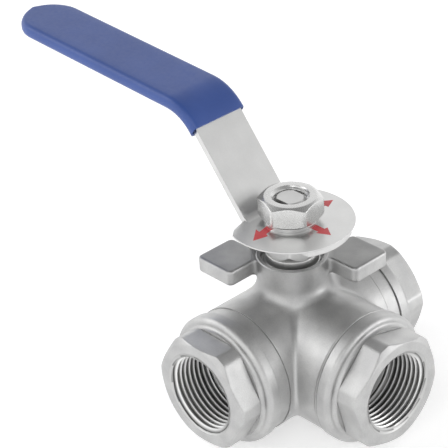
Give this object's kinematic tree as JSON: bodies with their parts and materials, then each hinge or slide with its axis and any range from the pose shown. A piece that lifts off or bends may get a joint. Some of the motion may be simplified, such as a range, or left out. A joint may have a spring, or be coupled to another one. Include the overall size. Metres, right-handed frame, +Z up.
{
  "type": "three way ball valve",
  "caption": "T body ball valve with female threaded ports, hexagon end caps, a flow indicator plate and a cranked quarter turn lever with a dipped grip.",
  "frame": {"origin": "centre of the ball, where the run axis, the branch axis and the stem axis cross", "axes": "+Z up along the stem to the lever nut; X along the run, with a port at each end; -Y along the branch port; the lever rests over +Y"},
  "size_m": [0.0832, 0.1652, 0.1011],
  "materials": {
    "cast_steel": "bead blasted investment casting",
    "turned_steel": "satin, turned",
    "polished_steel": "polished",
    "sheet_steel": "stamped sheet, fine satin",
    "ptfe": "waxy white",
    "vinyl": "dipped vinyl, semi gloss"
  },
  "bodies": {
    "valve_body": {"body": "cast_steel", "cap_left": "turned_steel", "cap_right": "turned_steel", "cap_branch": "turned_steel", "gasket_left": "ptfe", "gasket_right": "ptfe", "gasket_branch": "ptfe", "seat_left": "ptfe", "seat_right": "ptfe", "seat_branch": "ptfe", "seat_back": "ptfe", "thrust_washer": "ptfe", "packing_lower": "ptfe", "packing_middle": "ptfe", "packing_upper": "ptfe", "gland_ring": "turned_steel", "packing_nut": "turned_steel"},
    "lever_unit": {"stem": "turned_steel", "stop_plate": "sheet_steel", "lever": "sheet_steel", "lever_sleeve": "vinyl", "indicator_plate": "sheet_steel", "lock_washer": "turned_steel", "lever_nut": "polished_steel"},
    "ball_unit": {"ball": "polished_steel"}
  },
  "joints": [
    {"name": "lever_turn", "type": "hinge", "parent": "valve_body", "child": "lever_unit", "pos_m": [0, 0, 0], "axis": [0, 0, 1], "range_deg": [-90, 0]},
    {"name": "ball_turn", "type": "hinge", "parent": "valve_body", "child": "ball_unit", "pos_m": [0, 0, 0], "axis": [0, 0, 1], "range_deg": [-90, 0]}
  ],
  "couplings": [
    {"joint": "ball_turn", "follows": "lever_turn", "ratio": 1}
  ]
}
